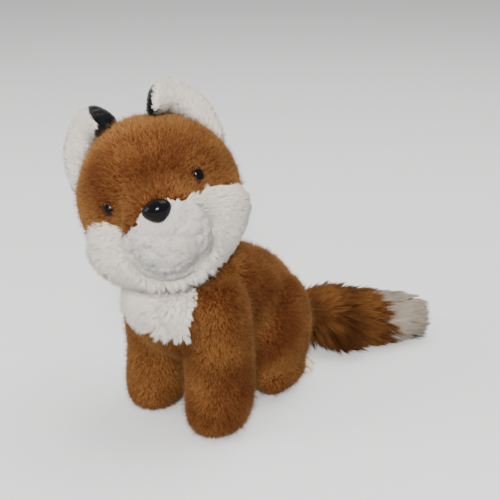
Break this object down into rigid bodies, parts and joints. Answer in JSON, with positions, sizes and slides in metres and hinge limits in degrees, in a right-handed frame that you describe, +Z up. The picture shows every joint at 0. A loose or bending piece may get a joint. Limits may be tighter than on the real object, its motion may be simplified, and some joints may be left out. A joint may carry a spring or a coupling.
{
  "type": "plush fox",
  "caption": "Sitting plush fox with a turned and tilted head, cupped ears that fold, a white ruff and bib, and a bushy tail that swings.",
  "frame": {"origin": "middle of the flat underside of the rump, on the floor", "axes": "+Z up, -Y the way the chest and front paws face, +X the fox's left side"},
  "size_m": [0.1959, 0.3113, 0.2554],
  "materials": {
    "ginger_plush": "combed short pile",
    "ginger_long_pile": "shaggy long pile",
    "white_plush": "combed long pile",
    "short_white_plush": "short crumpled pile",
    "black_plush": "short pile",
    "polyester_wadding": "loose fibre",
    "eye_plastic": "polished",
    "nose_plastic": "polished",
    "washer_plastic": "moulded",
    "label_tape": "woven tape"
  },
  "bodies": {
    "torso": {"torso_skin": "ginger_plush", "torso_stuffing": "polyester_wadding", "chest_bib": "white_plush", "front_leg_left_skin": "ginger_plush", "front_leg_left_stuffing": "polyester_wadding", "front_leg_right_skin": "ginger_plush", "front_leg_right_stuffing": "polyester_wadding", "haunch_left_skin": "ginger_plush", "haunch_left_stuffing": "polyester_wadding", "haunch_right_skin": "ginger_plush", "haunch_right_stuffing": "polyester_wadding", "hind_foot_left": "ginger_plush", "hind_foot_right": "ginger_plush", "label": "label_tape"},
    "head": {"head_skin": "ginger_plush", "head_stuffing": "polyester_wadding", "muzzle_skin": "short_white_plush", "ruff_left": "white_plush", "ruff_right": "white_plush", "eye_left": "eye_plastic", "eye_right": "eye_plastic", "eye_left_washer": "washer_plastic", "eye_right_washer": "washer_plastic", "nose": "nose_plastic", "nose_washer": "washer_plastic"},
    "ear_left": {"ear_left_back": "black_plush", "ear_left_lining": "white_plush"},
    "ear_right": {"ear_right_back": "black_plush", "ear_right_lining": "white_plush"},
    "tail": {"tail_brush": "ginger_long_pile", "tail_tip": "white_plush", "tail_stuffing": "polyester_wadding"}
  },
  "joints": [
    {"name": "head_turn", "type": "hinge", "parent": "torso", "child": "head", "pos_m": [0, -0.084, 0.12], "axis": [0, 0, 1], "range_deg": [-25, 25], "stiffness_Nm_per_rad": 0.2},
    {"name": "tail_swing", "type": "hinge", "parent": "torso", "child": "tail", "pos_m": [0, 0.0385, 0.038], "axis": [0, 0, 1], "range_deg": [-6, 86], "stiffness_Nm_per_rad": 0.05},
    {"name": "ear_left_fold", "type": "hinge", "parent": "head", "child": "ear_left", "pos_m": [-0.02372, -0.07137, 0.22277], "axis": [0.4072, 0.7388, -0.5371], "range_deg": [-20, 20], "stiffness_Nm_per_rad": 0.05},
    {"name": "ear_right_fold", "type": "hinge", "parent": "head", "child": "ear_right", "pos_m": [-0.06537, -0.11367, 0.2016], "axis": [0.3654, 0.046, 0.9297], "range_deg": [-20, 20], "stiffness_Nm_per_rad": 0.05}
  ]
}
